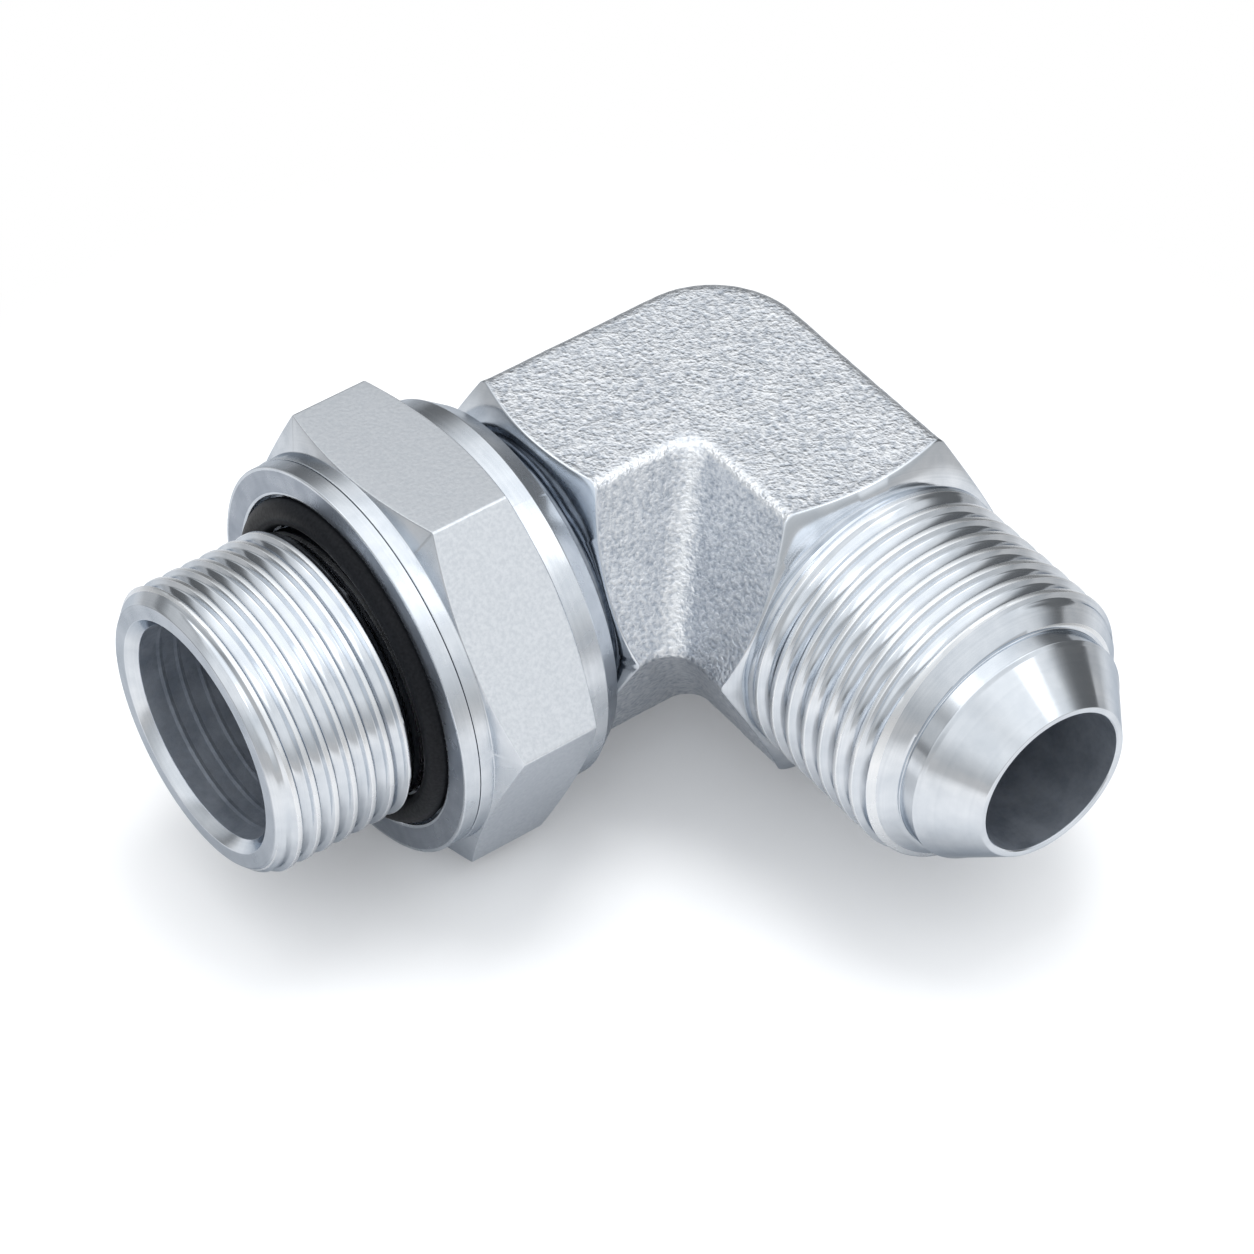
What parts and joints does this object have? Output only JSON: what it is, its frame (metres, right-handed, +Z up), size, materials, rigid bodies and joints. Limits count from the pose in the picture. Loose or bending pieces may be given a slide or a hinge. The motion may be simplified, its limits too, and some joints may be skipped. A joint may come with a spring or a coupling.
{
  "type": "elbow adapter",
  "caption": "Right-angle hydraulic elbow adapter: adjustable parallel-thread stud with hexagon lock nut, retaining ring and O-ring, and a male flare end with a 37 degree cone.",
  "frame": {"origin": "centre of the bottom of the bounding box, on the surface that the part lies on", "axes": "+X out along the flare arm, -Y out along the stud arm, +Z up, square to both arms"},
  "size_m": [0.0668, 0.069, 0.038],
  "materials": {
    "forged_body": "zinc plated, shot-blasted forging with turned ends",
    "nut_steel": "zinc plated, satin flats and turned collars",
    "ring_steel": "zinc plated, turned",
    "seal_rubber": "black nitrile rubber"
  },
  "bodies": {
    "elbow": {"elbow_body": "forged_body"},
    "ring_set": {"retaining_ring": "ring_steel", "o_ring": "seal_rubber"},
    "nut": {"lock_nut": "nut_steel"}
  },
  "joints": [
    {"name": "ring_slide", "type": "slide", "parent": "elbow", "child": "ring_set", "axis": [0, -1, 0], "range_m": [-0.0018, 0.0006]},
    {"name": "nut_turn", "type": "hinge", "parent": "ring_set", "child": "nut", "pos_m": [-0.01277, -0.01051, 0.019], "axis": [0, -1, 0], "range_deg": [-358, 120]}
  ],
  "couplings": [
    {"joint": "nut_turn", "follows": "ring_slide", "rad_per_m": 3463.7}
  ]
}
